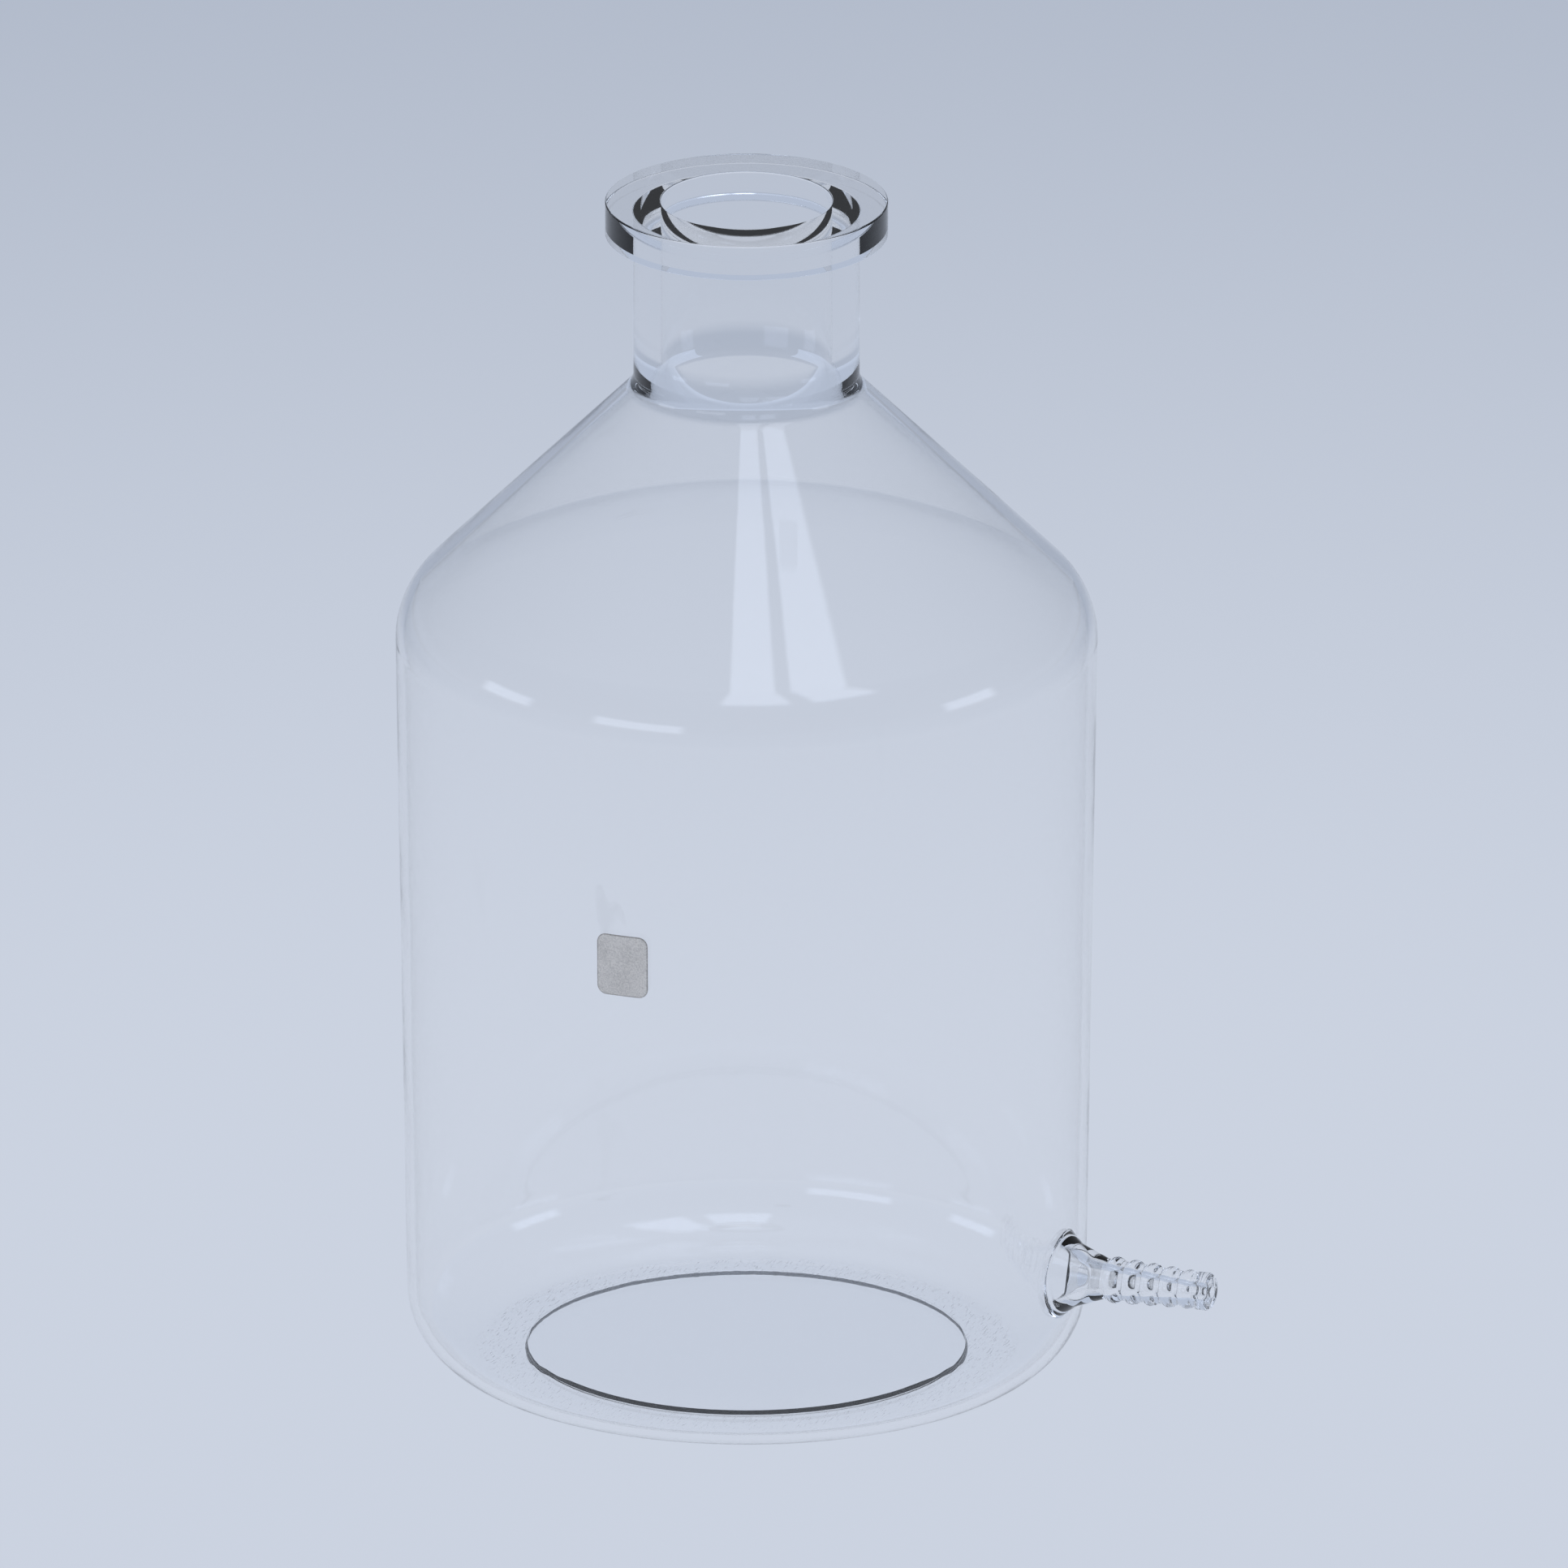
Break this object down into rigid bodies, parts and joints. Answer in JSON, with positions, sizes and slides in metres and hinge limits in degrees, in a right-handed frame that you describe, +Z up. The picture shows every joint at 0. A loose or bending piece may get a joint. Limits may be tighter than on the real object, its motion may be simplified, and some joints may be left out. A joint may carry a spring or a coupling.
{
  "type": "aspirator bottle",
  "caption": "Clear glass aspirator bottle with a straight body, sloping shoulder, heavy neck with a flat rim, and a beaded hose outlet at its foot for drawing off liquid.",
  "frame": {"origin": "centre of the flat ring that the bottle stands on, in its standing plane", "axes": "+Z up along the bottle's axis, +X along the hose outlet, -Y towards the printed marking spot"},
  "size_m": [0.2203, 0.182, 0.3168],
  "materials": {
    "body_glass": "clear, fire-polished",
    "neck_glass": "clear, fire-polished, heavy-walled",
    "outlet_glass": "clear, flame-worked",
    "enamel": "matte fired enamel with a fine grain"
  },
  "bodies": {
    "root": {"bottle_body": "body_glass", "neck_tube": "neck_glass", "rim_flange": "neck_glass", "outlet_boss": "outlet_glass", "hose_tail": "outlet_glass", "marking_spot": "enamel"}
  },
  "joints": []
}
